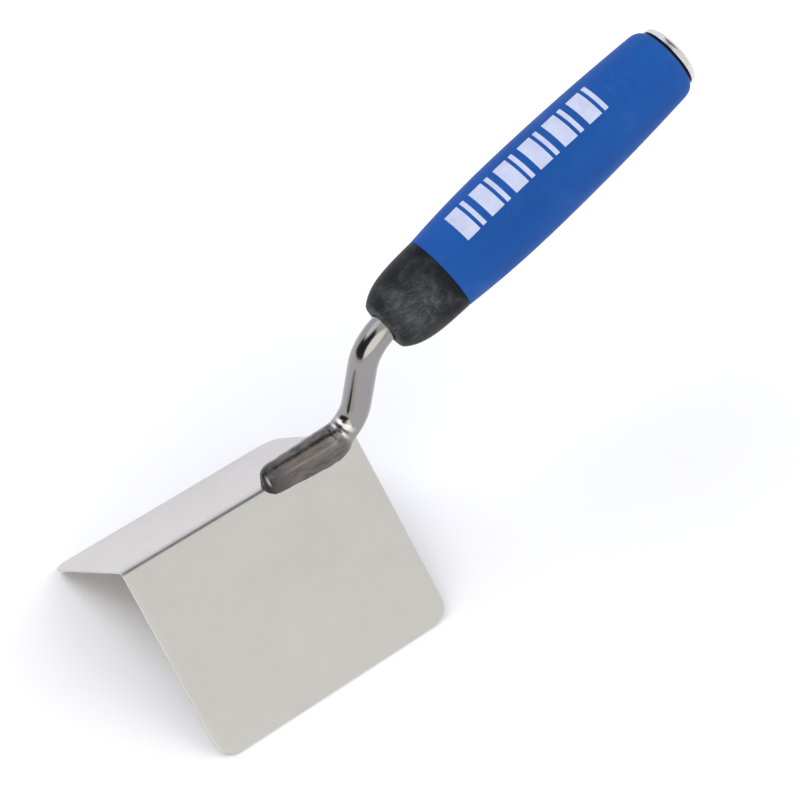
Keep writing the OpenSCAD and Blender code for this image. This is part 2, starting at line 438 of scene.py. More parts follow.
def forged_steel(look):
    """A forging: the foot is roughly ground, warm on its bevels and blotched with scale, with dark
    scale painted as shade in its creases, on its front end and in the troughs of the bend, whose
    crests carry painted highlights, and the shank is polished.

    The mesh carries four values from 0 to 1: how polished, how dark with scale and painted shade,
    how warm and how much burnish and painted highlight each point has.
    """
    finish = Finish("forged_steel", Metallic=1.0)
    polish, hollow, warmth, burnish = map(finish.wear, ("polish", "hollow", "warmth", "burnish"))
    blotch = finish.noise(1, 5, 0.6, finish.stretched((0, 6, 0), (0.16, 0.55, 0.55)), 0.5)
    fine = finish.noise(0.45, 4, 0.6)
    grind = finish.noise(1, 4, 0.6, finish.stretched((0, 12, 0), (0.20, 2.5, 2.5)))
    # Dark scale: random blotches, plus painted shade where the mesh marks troughs, creases and the
    # front end.
    scale_and_shade_amount = finish.sum(finish.span(blotch, 0.50, 0.68, 0.0, 0.75), hollow, "MAXIMUM")
    ground = finish.blend(scale_and_shade_amount, look.forged, look.scale)
    cloudy = finish.span(finish.noise(2.0, 3, 0.5), 0.35, 0.65, 0.3, 0.8)
    ground = finish.blend(finish.sum(warmth, cloudy, "MULTIPLY"), ground, look.warm)
    ground = finish.blend(finish.span(grind, 0.55, 0.8, 0.0, 0.45), ground, look.streak)
    bare = finish.blend(polish, ground, look.bright)
    rough_foot = finish.span(blotch, 0.3, 0.7, 0.24, 0.38)
    rough_shank = finish.span(fine, 0.3, 0.7, 0.11, 0.16)
    depth = finish.sum(finish.span(polish, 0.0, 1.0, 1.0, 0.04), blotch, "MULTIPLY")
    # The crests and the lip are painted near white as highlights.
    return finish.done(Base_Color=finish.blend(burnish, bare, look.burnish_highlight_colour),
                       Roughness=finish.add("Mix", {0: polish, 2: rough_foot, 3: rough_shank}),
                       Normal=finish.relief(grind, 0.015, 0.5, finish.relief(depth, 0.25, 0.55)))


def hard_plastic(look):
    """Black moulded plastic, mottled with short scuffs and a little plaster dust.

    The mesh carries a value from 0 to 1 that says how rubbed each point is.
    """
    finish = Finish("hard_plastic", Specular_IOR_Level=0.08)
    patches = finish.noise(5.5, 3, 0.55, distortion=0.5)
    scuffs = finish.noise(1, 5, 0.7, finish.stretched((0, 40, 25), (0.35, 1.6, 1.6)))
    cross = finish.noise(1, 5, 0.7, finish.stretched((30, -30, -20), (0.4, 2.2, 2.2)))
    both = finish.sum(finish.span(scuffs, 0.48, 0.72), finish.span(cross, 0.55, 0.78), "MAXIMUM")
    cover = finish.sum(finish.span(patches, 0.46, 0.70, 0.0, 0.3), finish.wear("rubbed"))
    dust = finish.sum(cover, finish.span(patches, 0.3, 0.7, 0.25, 0.75), "MULTIPLY")
    amount = finish.sum(finish.sum(both, cover, "MULTIPLY"), dust)
    texture = finish.relief(finish.noise(0.35, 3), 0.03, 0.35)
    return finish.done(Base_Color=finish.blend(amount, look.plastic, look.scuff),
                       Roughness=finish.span(amount, 0.0, 0.8, 0.42, 0.66),
                       Normal=finish.relief(amount, 0.05, 0.5, texture))


def soft_rubber(look):
    """Moulded soft rubber: an even matt blue with a fine sparked grain, a faint flow of tone along
    the grip and paler rubs where a hand polishes it."""
    finish = Finish("soft_rubber", Specular_IOR_Level=0.08)
    tilt = math.degrees(HANDLE_TILT)
    flow = finish.noise(1, 3, 0.5, finish.stretched((0, tilt, 0), (0.022, 0.09, 0.09)))
    grain = finish.noise(0.28, 3, 0.6)
    rubs = finish.noise(9, 4, 0.6, distortion=0.3)
    base = finish.blend(finish.span(flow, 0.3, 0.7), shade(look.rubber, 0.90),
                        shade(look.rubber, 1.10))
    base = finish.blend(finish.span(rubs, 0.55, 0.8, 0.0, 0.10), base, look.rubbed)
    base = finish.blend(finish.span(grain, 0.5, 0.75, 0.0, 0.06), base, look.pits)
    return finish.done(Base_Color=base, Roughness=finish.span(rubs, 0.35, 0.75, 0.56, 0.46),
                       Normal=finish.relief(grain, 0.03, 0.35))


def printed_ink(look):
    """Thick pale ink with the sleeve's grain under it, faint stains and a few worn specks."""
    finish = Finish("printed_ink", Specular_IOR_Level=0.35)
    stains = finish.noise(4, 4, 0.6)
    specks = finish.noise(0.55, 4, 0.65)
    base = finish.blend(finish.span(stains, 0.4, 0.7), look.ink, shade(look.ink, 0.86))
    base = finish.blend(finish.span(specks, 0.66, 0.74, 0.0, 0.55), base, look.rubber)
    return finish.done(Base_Color=base, Roughness=finish.span(stains, 0.3, 0.7, 0.5, 0.62),
                       Normal=finish.relief(finish.noise(0.28, 3, 0.6), 0.03, 0.3))


def polished_cap(look):
    """Bright turned steel with fine scratches, small dents and slightly dulled patches."""
    finish = Finish("polished_cap", Metallic=1.0)
    patches = finish.noise(3.5, 3)
    fine = finish.noise(1, 5, 0.7, finish.stretched((20, 10, 35), (0.3, 3.0, 3.0)))
    dents = finish.noise(1.6, 2, 0.4)
    base = finish.blend(finish.span(patches, 0.35, 0.7), look.steel, shade(look.steel, 0.84))
    dull = finish.sum(finish.span(patches, 0.3, 0.7, 0.12, 0.22),
                      finish.span(fine, 0.55, 0.8, 0.0, 0.14))
    return finish.done(Base_Color=base, Roughness=dull,
                       Normal=finish.relief(fine, 0.01, 0.5, finish.relief(dents, 0.05, 0.5)))


# ---- the blade

def wing_section(blade, wing_stations=26, fold_stations=22):
    """Stations across the folded sheet, from the free edge of one wing to that of the other.

    Each has a point of the inner face, the way out through the sheet, and how far it lies from the
    free edge. On a wing, a point is v along the wing's own slope from the inner corner. Round the
    fold, it lies on a circle about the fold's centre. Stations crowd towards the free edges as a
    quarter circle does, so that the rounded tips stay smooth.
    """
    slope = np.array([math.sin(HALF_ANGLE), -math.cos(HALF_ANGLE)])
    out = np.array([math.cos(HALF_ANGLE), math.sin(HALF_ANGLE)])
    wing_end = -BLADE_LOW[2] / math.cos(HALF_ANGLE)
    tangent = blade.fold / math.tan(HALF_ANGLE)
    quarter = np.sin(np.linspace(0, math.pi / 2, wing_stations))
    v = np.concatenate([np.linspace(tangent, wing_end - blade.tip, wing_stations)[:-1],
                        wing_end - blade.tip + blade.tip * quarter])
    points, normals = v[:, None] * slope, np.tile(out, (len(v), 1))
    angle = np.linspace(HALF_ANGLE, math.pi - HALF_ANGLE, fold_stations + 2)[1:-1]
    round_out = np.stack([np.cos(angle), np.sin(angle)], -1)
    centre = np.array([0, -blade.fold / math.sin(HALF_ANGLE)])
    mirror = np.array([-1, 1])
    points = np.vstack([points[::-1], centre + blade.fold * round_out, points * mirror])
    normals = np.vstack([normals[::-1], round_out, normals * mirror])
    from_end = np.concatenate([wing_end - v[::-1], np.full(len(angle), wing_end), wing_end - v])
    return points, normals, from_end


def eased_loops(half_length, low, high, ease, along=40, corner=4):
    """For each station, a long rounded rectangle: x from end to end, and depth through the sheet.

    Each corner is a quarter circle of the ease's radius, and a straight run joins the first to the
    second along the outer face, and the third to the fourth along the inner one.
    """
    def quarter(start, side, level):
        angle = np.radians(np.linspace(start, start + 90, corner + 1))
        still = np.ones(corner + 1)
        return np.stack([still * side, still * level, np.cos(angle), np.sin(angle)])

    run = np.linspace(-1, 1, along)[1:-1]
    flat = np.zeros(along - 2)
    outer = np.stack([run[::-1], flat + 1, flat, flat + 1])
    inner = np.stack([run, flat, flat, flat - 1])
    reach, level, x_off, w_off = np.hstack([quarter(0, 1, 1), outer, quarter(90, -1, 1),
                                            quarter(180, -1, 0), inner, quarter(270, 1, 0)])
    x = reach * (half_length[:, None] - ease) + x_off * ease
    w = low[:, None] + ease + level * (high - low - 2 * ease)[:, None] + w_off * ease
    return x, w


def blade_shell(blade):
    """The folded sheet as rings round its thickness, one for each station across it.

    The half length falls off near a free edge as a circle of the tip's radius does, and the
    thickness falls off over the last eased fraction of a millimetre.
    """
    points, normals, from_end = wing_section(blade)
    inset = np.clip(1 - from_end / blade.tip, 0, 1)
    half_length = BLADE_HIGH[0] - blade.tip * (1 - np.sqrt(1 - inset ** 2))
    thinned = blade.ease * (1 - np.sqrt(1 - np.clip(1 - from_end / blade.ease, 0, 1) ** 2))
    x, w = eased_loops(half_length, thinned, blade.sheet - thinned, blade.ease)
    section = points[:, None, :] + normals[:, None, :] * w[..., None]
    return tube(np.concatenate([x[..., None], section], -1))


class TROWEL_OT_blade(bpy.types.Operator):
    """Builds the folded satin steel blade"""
    bl_idname = "trowel.blade"
    bl_label = "Blade"

    def execute(self, context):
        look = chosen("trowel_blade")
        add_piece("folded_blade", [blade_shell(look)], satin_sheet(look), 40,
                  ["blade"])
        return {"FINISHED"}


# ---- the tang

# Angles round the bar start at its +Y side and go over its top, so 180 degrees is its -Y side.
TANG_SIDES = 144
NOSE_LENGTH = 4.2       # how far back the foot's rounded front end reaches
NOSE_NARROW, NOSE_LOW = 0.30, 0.66  # the very front's share of the foot's width and height
CORNER_SHARPNESS = 24   # how crisp the foot's edges are
COLLAR_EASE = 0.15      # the eased rim of the full shank's end in the handle
HOLLOW_DEPTH = 0.24     # of the grinding in each bevel
WOBBLE = 0.07           # height of the forging's unevenness

# Marks round the lower bend, on its inner side, as height, degrees and width: ridges that the
# forging leaves, painted highlights on their crests and painted shade in the troughs between.
INNER_SIDE, INNER_SPREAD = math.radians(114), 0.66
RIDGES = ((0.48, 44, 5.0), (-0.26, 37, 2.6), (0.34, 31, 3.4), (-0.45, 22, 4.5))
# Painted highlights on the crests.
HIGHLIGHT_CRESTS = ((1.0, 47, 3.2), (0.9, 34.5, 2.2))
# Painted shade in the troughs, in the forging scale's colour.
SHADED_TROUGHS = ((1.0, 23, 5.0), (0.8, 39.5, 2.0))


def rounded_polygon(angle, normals, distances, sharpness):
    """Distance to a polygon's edge with softened corners, from the distances and directions of its
    sides: one over the sharpness-norm of each side's cosine over its distance."""
    total = sum(np.clip(np.cos(angle - normal) / distance, 0, None) ** sharpness
                for normal, distance in zip(normals, distances))
    return total ** (-1 / sharpness)


def ridge_height():
    """Height of the line where the planes of the wings' outer faces meet."""
    return chosen("trowel_blade").sheet / math.sin(HALF_ANGLE)


def wing_distance(angle, heading, height):
    """How far a ray from the bar's axis goes before it meets the planes of the wings.

    The axis is a height above the ridge, and the ray's own plane is turned by the heading.
    """
    fall = -(np.sin(angle) * np.cos(heading) + np.abs(np.cos(angle)) / math.tan(HALF_ANGLE))
    level, never = 1e-6, 1e6
    return np.where(fall > level, height / np.maximum(fall, level), never)


def tang_path(tang, nose):
    """Stations along the forging, as columns: x, z, heading, the bar's radius, how far from the
    foot's front end, how far along the foot from 0 to 1, and degrees round the lower bend.

    The path runs along the ridge, round the lower bend by its radius times (sine, one minus cosine)
    of the heading, straight up the leg, round the upper bend and into the handle.
    """
    leg, tilt = tang.leg, HANDLE_TILT
    axis_z = ridge_height() + tang.axis_height
    leg_x, front_x = BLADE_HIGH[0] - tang.setback, BLADE_HIGH[0] - tang.foot
    root_x = leg_x - tang.lower_bend * math.tan(leg / 2)
    into = np.array([math.cos(tilt), math.sin(tilt)])
    bend_end = (np.array([leg_x + tang.neck / math.tan(leg), axis_z + tang.neck])
                + tang.upper_bend * math.tan((leg - tilt) / 2) * into)

    quarter = np.linspace(0, math.pi / 2, 16)
    foot_x = np.concatenate([front_x + NOSE_LENGTH * (1 - np.cos(quarter)),
                             np.linspace(front_x + NOSE_LENGTH, root_x, 34)[1:]])
    lower = np.linspace(0, leg, 65)[1:]
    lower_x = root_x + tang.lower_bend * np.sin(lower)
    lower_z = axis_z + tang.lower_bend * (1 - np.cos(lower))
    upper = np.linspace(leg, tilt, 30)
    upper_x = bend_end[0] - tang.upper_bend * (np.sin(upper) - math.sin(tilt))
    upper_z = bend_end[1] - tang.upper_bend * (math.cos(tilt) - np.cos(upper))
    way = np.linspace(0, 1, 8)[1:-1]
    end = tang.collar + tang.inner_length
    inside = nose[:, None] + into[:, None] * [tang.collar - 0.3, tang.collar, tang.collar, end]

    full, thin = tang.diameter / 2, tang.inner / 2
    stretches = (
        (foot_x, axis_z, 0.0, 0.0, full),
        (lower_x, lower_z, lower, lower, full),
        (mix(lower_x[-1], upper_x[0], way), mix(lower_z[-1], upper_z[0], way), leg, leg, full),
        (upper_x, upper_z, upper, leg, full),
        (*inside, tilt, leg, [full, full - COLLAR_EASE, thin, thin]),
    )
    x, z, heading, bend, bar = np.hstack(
        [np.stack(np.broadcast_arrays(*stretch)) for stretch in stretches])[..., None]
    foot_way = np.clip((x - front_x) / (root_x - front_x), 0, 1)
    return x, z, heading, bar, x - front_x, foot_way, np.degrees(bend)


def both_sides(angle, degrees, width):
    """A bell-shaped rise on each side of the bar, that many degrees up from level."""
    return sum(bump(angle, math.radians(at), width) for at in (degrees, 180 - degrees))


def foot_radius(tang, angle, x, from_front, foot_way, bend_way):
    """The foot's rings: a softened polygon of a flat top, leaning bevels and upright sides.

    Its front end draws in as a quarter circle does, each bevel is ground hollow, and two products
    of sines along it and round it make it uneven.
    """
    front = np.sqrt(1 - np.clip(1 - from_front / NOSE_LENGTH, 0, 1) ** 2)
    half_width = mix(tang.front_width, tang.root_width, foot_way) / 2
    half_width = half_width * mix(NOSE_NARROW, 1.0, front ** 1.25)
    drop = mix(NOSE_LOW, 1.0, front ** 0.8)
    top = (mix(tang.front_height, tang.root_height, foot_way) - tang.axis_height) * drop
    edge_z = tang.shoulder * drop + 0.35 * foot_way
    lean = tang.bevel
    bevel = half_width * math.cos(lean) + edge_z * math.sin(lean)
    section = rounded_polygon(
        angle, [math.pi / 2, lean, math.pi - lean, 0, math.pi, -math.pi / 2],
        [top, bevel, bevel, half_width, half_width, top * 1.5], CORNER_SHARPNESS)
    ground = rise(foot_way, 0.12, 0.2) * (1 - rise(bend_way, 8, 22))
    section = section - HOLLOW_DEPTH * both_sides(angle, 60, 0.22) * ground
    uneven = (np.sin(x * 1.1 + 2.0 * angle) * np.sin(x * 0.37 + angle + 1.0)
              + 0.6 * np.sin(x * 2.3 - 3.0 * angle + 0.7) * np.sin(x * 0.71 - angle))
    return section + WOBBLE * uneven * (1 - rise(bend_way, 15, 25)) * front


def tang_wear(angle, from_front, foot_way, bend_way):
    """How polished, how dark with scale and painted shade, how warm and how much burnish and
    painted highlight each point has, from 0 to 1.

    The shank, the crests of the bend's ridges, a short slanted lip behind the front end, the
    bevels' lower edges and a facet at the root are polished, and the crests and the lip are also
    painted near white as highlights. Dark scale, painted there as shade, fills the troughs, the
    creases beside the flat top and the front end, and darkens a band a fifth of the way along the
    foot. The bevels are warm.
    """
    inner = bump(angle, INNER_SIDE, INNER_SPREAD)
    on_foot = 1 - rise(bend_way, 15, 25)
    shank = smooth((bend_way - 24 - 28 * inner) / 9)
    # Polish, and a painted highlight, on the crests of the bend's ridges.
    crest_highlights = bumps(bend_way, HIGHLIGHT_CRESTS) * smooth(inner * 1.6)
    # A short slanted lip behind the front end, polished and painted near white as a highlight.
    lip_highlight_at = 0.5 + 0.7 * np.clip(angle - 1.9, 0, 1.2)
    lip = 0.8 * bump(from_front, lip_highlight_at, 0.2) * bump(angle, 2.45, 0.5)
    edges = both_sides(angle, 45, 0.05) * rise(foot_way, 0.3, 0.2)
    facet = bump(angle, 2.2, 0.35) * bump(bend_way, 16, 8)
    # Painted shade in the creases beside the flat top.
    shaded_creases = both_sides(angle, 73, 0.06) * rise(foot_way, 0.25, 0.2)
    warm = both_sides(angle, 60, 0.26) * rise(foot_way, 0.35, 0.25)
    # Painted highlights on the crests and the lip.
    burnish = np.clip(crest_highlights + 0.8 * lip, 0, 1)
    # Dark scale painted as shade in the troughs, the creases and the front end, and a darker band a
    # fifth of the way along the foot.
    scale = (bumps(bend_way, SHADED_TROUGHS) * inner + 0.75 * shaded_creases * (1 - shank)
             + 0.95 * (1 - rise(from_front, 0, 3.6)) + 0.5 * bump(foot_way, 0.18, 0.15))
    return {
        "polish": np.clip(shank + crest_highlights + lip + (0.35 * edges + 0.7 * facet) * on_foot, 0, 1),
        "hollow": np.clip(scale, 0, 1) * (1 - lip),
        "warmth": warm * on_foot * (1 - burnish),
        "burnish": burnish,
    }


def tang_shell(tang, nose):
    """The forging, skinned over rings that stand square to its path, and its wear.

    A ring is the foot's own section, cut off below by the wings, and becomes the round bar on the
    way round the lower bend, where two small forging ridges cross its inner side.
    """
    x, z, heading, bar, from_front, foot_way, bend_way = tang_path(tang, nose)
    angle = full_turn(TANG_SIDES)
    section = foot_radius(tang, angle, x, from_front, foot_way, bend_way)
    radius = mix(section, bar, rise(bend_way, 6, 36))
    radius = radius + bumps(bend_way, RIDGES) * bump(angle, INNER_SIDE, INNER_SPREAD)
    radius = np.minimum(radius, wing_distance(angle, heading, z - ridge_height()))
    shell = np.stack([x - radius * np.sin(angle) * np.sin(heading),
                      radius * np.cos(angle),
                      z + radius * np.sin(angle) * np.cos(heading)], -1)
    return tube(shell), tang_wear(angle, from_front, foot_way, bend_way)


def nose_point(handle):
    """Where the handle's axis passes through its nose face, as (x, y, z)."""
    grip = np.array(MOUNTS["hand_grip"]["pos_m"], float) / MM
    return grip - handle.belly_at * ALONG


def carry(piece, name, values):
    """Keeps a value at each point of a tube's rings, and each end ring's mean at its middle."""
    flat = np.concatenate([values.ravel(), [values[0].mean(), values[-1].mean()]])
    attribute = piece.data.attributes.new(name, "FLOAT", "POINT")
    attribute.data.foreach_set("value", flat.astype(np.float32))


class TROWEL_OT_tang(bpy.types.Operator):
    """Builds the forged foot, cranked shank and tang"""
    bl_idname = "trowel.tang"
    bl_label = "Tang"

    def execute(self, context):
        look = chosen("trowel_tang")
        nose = nose_point(chosen("trowel_handle"))[[0, 2]]
        shell, worn = tang_shell(look, nose)
        piece = add_piece("forged_tang", [shell], forged_steel(look), 30, ["tang"])
        for name, values in worn.items():
            carry(piece, name, values)
        return {"FINISHED"}


# ---- the handle

CORE_AROUND, SLEEVE_AROUND, CAP_AROUND = 128, 160, 128


def on_handle(handle, u, radius, angle):
    """Points u along the handle from its nose face, out from its axis, and round from its top."""
    u, radius, angle = np.broadcast_arrays(u, radius, angle)
    up, aside = radius * np.cos(angle), radius * np.sin(angle)
    return (nose_point(handle) + u[..., None] * ALONG + up[..., None] * TOP
            + aside[..., None] * ACROSS)


def turned(handle, profile, around, loop=False):
    """A lathe surface: each (u, radius) of the profile goes once round the handle's axis."""
    return tube(on_handle(handle, profile[:, 0:1], profile[:, 1:2], full_turn(around)), loop)


def butt_start(handle):
    """Where the sleeve's end starts to round off."""
    return handle.end_at - handle.shoulder


def cap_seat(handle):
    """Where the cap sits on the core's ring."""
    return handle.end_at + handle.ring_thick


def nose_curve(handle, u):
    """The nose's radius: it swells quickly and levels off, as one minus an exponential does."""
    swell = (1 - np.exp(-u / handle.swell)) / (1 - math.exp(-handle.seam_at / handle.swell))
    return mix(handle.nose, handle.seam, swell) / 2


def grip_curve(handle, u):
    """The grip's radius: a parabola either side of its thickest place."""
    before = ((handle.belly_at - u) / (handle.belly_at - handle.seam_at)) ** 2
    after = ((u - handle.belly_at) / (butt_start(handle) - handle.belly_at)) ** 2
    lost = np.where(u < handle.belly_at, (handle.belly - handle.seam) * before,
                    (handle.belly - handle.butt) * after)
    return (handle.belly - lost) / 2


def grip_line(handle, start, end, steps, wall=0.0):
    """Points (u, radius) along the grip's surface, or a wall's thickness under it."""
    u = np.linspace(start, end, steps)
    return np.stack([u, grip_curve(handle, u) - wall], -1)


def path(*parts):
    """Joins stretches of (u, radius) points into one profile."""
    return np.vstack([np.atleast_2d(part) for part in parts])


def core_profile(handle, tang, cap):
    """The core from the bottom of the tang's bore, out over the nose, under the sleeve to the butt,
    and down the stem's bore."""
    bore, inner, stem = tang.diameter / 2, tang.inner / 2, cap.stem / 2
    neck, ring, seat = handle.end / 2 - handle.lip, handle.ring / 2, cap_seat(handle)
    ease = 0.28
    flat = np.linspace(bore + handle.mouth + 0.3, handle.nose / 2 - ease, 6)
    nose_u = np.linspace(ease, handle.seam_at - 0.35, 60)
    return path(
        # The bore, and the countersink round the shank.
        (tang.collar + tang.inner_length, inner), (tang.collar, inner), (tang.collar, bore),
        (handle.mouth_depth + 0.05, bore), (0.12, bore + handle.mouth),
        (0, bore + handle.mouth + 0.14),
        # The flat nose face, its rounded edge, and the nose up to the seam's fine groove.
        np.stack([flat * 0, flat], -1),
        arc((ease, handle.nose / 2 - ease), ease, -180, -270, 5)[1:-1],
        np.stack([nose_u, nose_curve(handle, nose_u)], -1),
        (handle.seam_at - 0.12, handle.seam / 2 - 0.03),
        (handle.seam_at + 0.05, handle.seam / 2 - 0.3),
        # Under the sleeve to the ring, and down the stem's bore.
        grip_line(handle, handle.seam_at + 0.3, butt_start(handle), 30, handle.wall),
        (butt_start(handle), neck), (handle.end_at, neck), (handle.end_at, ring - 0.1),
        (handle.end_at + 0.1, ring), (seat, ring), (seat, stem),
        (seat - cap.stem_length - cap.relief, stem))


def sleeve_profile(handle):
    """The soft sleeve, once round its wall: out over the grip, round the butt and back inside."""
    start = butt_start(handle)
    neck = handle.end / 2 - handle.lip + 0.05
    ease = 0.35
    grip = grip_line(handle, handle.seam_at + ease, start, 90)
    front = grip[0, 1]
    turn_in = np.radians(np.linspace(0, 90, 17)[1:])
    shoulder = np.stack([start + (handle.shoulder - handle.reveal) * np.sin(turn_in),
                         handle.end / 2 + (handle.butt - handle.end) / 2 * np.cos(turn_in)], -1)
    end_at = handle.end_at - handle.reveal
    return path(
        (handle.seam_at + 0.02, front - ease),
        arc((handle.seam_at + ease + 0.02, front - ease), ease, -180, -270, 6)[1:-1],
        grip, shoulder, (end_at, handle.end / 2 - 0.2), (end_at, neck), (start, neck),
        grip_line(handle, start, handle.seam_at + 0.05, 30, handle.wall))


class TROWEL_OT_core(bpy.types.Operator):
    """Builds the hard plastic core with its nose"""
    bl_idname = "trowel.core"
    bl_label = "Handle core"

    def execute(self, context):
        look = chosen("trowel_handle")
        profile = core_profile(look, chosen("trowel_tang"), chosen("trowel_cap"))
        core = add_piece("handle_nose_and_core", [turned(look, profile, CORE_AROUND)],
                         hard_plastic(look), 35, ["handle_core"])
        u, radius = profile[:, :1], profile[:, 1:]
        angle = np.remainder(full_turn(CORE_AROUND) + math.pi, 2 * math.pi) - math.pi
        sides = bump(angle, -0.85, 0.72) + bump(angle, 2.3, 0.72)
        patches = 0.75 * bump(u, 8.5, 8.5) * sides + 0.25 * bump(u, 4, 6)
        rim = bump(u, 0.2, 0.7) * (radius > look.nose / 2 - 1.2)
        carry(core, "rubbed", np.maximum(patches, rim))
        return {"FINISHED"}


class TROWEL_OT_sleeve(bpy.types.Operator):
    """Builds the soft sleeve and the raised marks near its butt"""
    bl_idname = "trowel.sleeve"
    bl_label = "Grip sleeve"

    def execute(self, context):
        look = chosen("trowel_handle")
        rubber = soft_rubber(look)
        add_piece("soft_sleeve", [turned(look, sleeve_profile(look), SLEEVE_AROUND, True)], rubber,
                  35, ["grip_sleeve"])
        add_piece("raised_marks", raised_marks(look), rubber, 50)
        return {"FINISHED"}


# The raised marks: their middle along and round the grip, and a pad's size and places.
MARKS_AT, MARKS_TURN = 92.9, math.radians(-15)
MARK_WIDE, MARK_DEEP, MARK_HIGH = 1.7, 0.95, 0.10
MARK_ROWS, MARK_STEPS, MARK_PITCH = (-2.1, 2.1), (-2, -1, 0, 1, 2), 1.75 / 11.8
# Their outline: half its length and depth, how square it is, and its line's half width, height and
# the reach at which it has that width.
OUTLINE_U, OUTLINE_S, OUTLINE_SQUARE = 4.5, 5.6, 5
LINE_WIDE, LINE_HIGH, LINE_U, LINE_S = 0.16, 0.09, 4.6, 5.6

# The printed bars: where they start and are centred, and each bar's place in its pair and width.
PRINT_START, PRINT_PITCH, PRINT_PAIRS, PRINT_TURN = 31.6, 9.3, 6, math.radians(-5)
PRINT_DEEP, PRINT_HIGH, PRINT_EASE = 10.4, 0.05, 0.03
PRINT_BARS = ((2.35, 4.7), (6.5, 1.4))


def pad(handle, middle_u, middle_angle, wide, deep, height, ease, sink=0.25):
    """A thin closed pad that follows the grip: wide along it, deep round it, and a height proud.

    A ring goes once round the pad's thickness, and its underside is sunk into the grip. The rings
    are spaced round the grip by distance over radius. The top's edges lean in by the ease, and its
    first and last rings lie on the grip.
    """
    steps = 9
    span, low = np.linspace(-1, 1, steps), height - ease
    loop_u = np.concatenate([span * (wide / 2 - ease), [wide / 2], -span * wide / 2, [-wide / 2]])
    loop_h = np.concatenate([np.full(steps, height), [low], np.full(steps, -sink), [low]])
    rows = np.concatenate([[-1.0], np.linspace(-1, 1, 17) * (1 - 2 * ease / deep), [1.0]])[:, None]
    radius = grip_curve(handle, middle_u + loop_u)[None, :]
    lifted = np.where((loop_h > 0) & (np.abs(rows) == 1), 0.0, loop_h)
    return tube(on_handle(handle, middle_u + loop_u, radius + lifted,
                          middle_angle + rows * deep / 2 / radius))


def raised_marks(handle):
    """Faint moulded marks by the butt: two rows of plain pads inside a rounded outline.

    The outline follows a squircle, (cos t, sin t) over the norm of that order, and its line is a
    flattened tube half sunk into the grip.
    """
    shells = [pad(handle, MARKS_AT + row, MARKS_TURN + step * MARK_PITCH, MARK_WIDE, MARK_DEEP,
                  MARK_HIGH, ease=0.08, sink=0.2)
              for row in MARK_ROWS for step in MARK_STEPS]
    t = full_turn(96).T
    order = OUTLINE_SQUARE
    squircle = (np.abs(np.cos(t)) ** order + np.abs(np.sin(t)) ** order) ** (-1 / order)
    line_turn = full_turn(8)
    widen = LINE_WIDE * np.cos(line_turn)
    u = MARKS_AT + OUTLINE_U * squircle * np.cos(t) * (1 + widen / LINE_U)
    radius = grip_curve(handle, u)
    angle = MARKS_TURN + OUTLINE_S * squircle * np.sin(t) * (1 + widen / LINE_S) / radius
    shells.append(tube(on_handle(handle, u, radius + LINE_HIGH * np.sin(line_turn), angle), True))
    return shells


class TROWEL_OT_print(bpy.types.Operator):
    """Builds the plain printed bars along the top of the grip"""
    bl_idname = "trowel.print"
    bl_label = "Printed bars"

    def execute(self, context):
        look = chosen("trowel_handle")
        bars = [pad(look, PRINT_START + at + pair * PRINT_PITCH, PRINT_TURN, wide, PRINT_DEEP,
                    PRINT_HIGH, PRINT_EASE)
                for pair in range(PRINT_PAIRS) for at, wide in PRINT_BARS]
        add_piece("printed_bars", bars, printed_ink(look), 40)
        return {"FINISHED"}


def cap_profile(handle, cap):
    """The cap from the end of its stem, out under its rim, up its turned wall and over its dome."""
    seat, wide, stem = cap_seat(handle), cap.diameter / 2, cap.stem / 2
    rim, groove, stem_ease = 0.22, 0.12, 0.3
    turn_in = np.radians(np.linspace(0, 88, 26))
    dome = np.stack([seat + cap.edge + cap.dome * np.sin(turn_in),
                     (wide - groove) * np.cos(turn_in) ** 0.9], -1)
    return path(
        (seat - cap.stem_length, stem - stem_ease), (seat - cap.stem_length + stem_ease, stem),
        (seat, stem), (seat, wide - groove), (seat + 0.05, wide - 0.03), (seat + 0.11, wide),
        (seat + rim, wide), (seat + rim + 0.07, wide - 0.10), dome)


class TROWEL_OT_cap(bpy.types.Operator):
    """Builds the polished strike cap"""
    bl_idname = "trowel.cap"
    bl_label = "Strike cap"

    def execute(self, context):
        look, handle = chosen("trowel_cap"), chosen("trowel_handle")
        add_piece("domed_cap", [turned(handle, cap_profile(handle, look), CAP_AROUND)],
                  polished_cap(look), 28, ["strike_cap"])
        return {"FINISHED"}


# ---- the stage

SKY = (0.94, 0.94, 0.94)
# Round patches of the sky, each over the one before: direction, inner and outer angle, colour.
SKY_PATCHES = (
    ((0.1, 1.0, 0.2), 20, 80, (0.93, 0.95, 1.06)),          # cool light on the far side
    ((0.42, -0.02, 0.90), 20, 33, (0.08, 0.08, 0.09)),      # dark opening overhead
    ((-0.95, 0.03, 0.19), 38, 47, (0.045, 0.045, 0.05)),    # dark flag at the blade's front
    ((-0.62, -0.76, 0.26), 22, 32, (2.05, 1.97, 1.78)),     # warm card on the near side
    ((-0.55, 0.45, 0.70), 10, 24, (1.5, 1.5, 1.5)),         # small bright card, high at the front
)

# The floor's half width, and the soft lights: places from the middle of the part, size and power.
FLOOR_REACH = 3.0
LIGHTS = {"key": (-0.5, 0.6, 1.1), "fill": (0.6, -0.5, 1.1)}
LIGHT_SIZE, LIGHT_POWER = 1.2, 6.6


def patch(tree, way, direction, inner, outer):
    """How far a way lies in a patch of the sky: 1 within the inner angle, 0 past the outer."""
    nearness = add_node(tree, "VectorMath",
                        {0: way, 1: Vector(direction).normalized()}, operation="DOT_PRODUCT")
    far, near = (math.cos(math.radians(limit)) for limit in (outer, inner))
    edge = {"Value": nearness.outputs["Value"], "From Min": far, "From Max": near}
    return add_node(tree, "MapRange", edge, interpolation_type="SMOOTHSTEP").outputs[0]


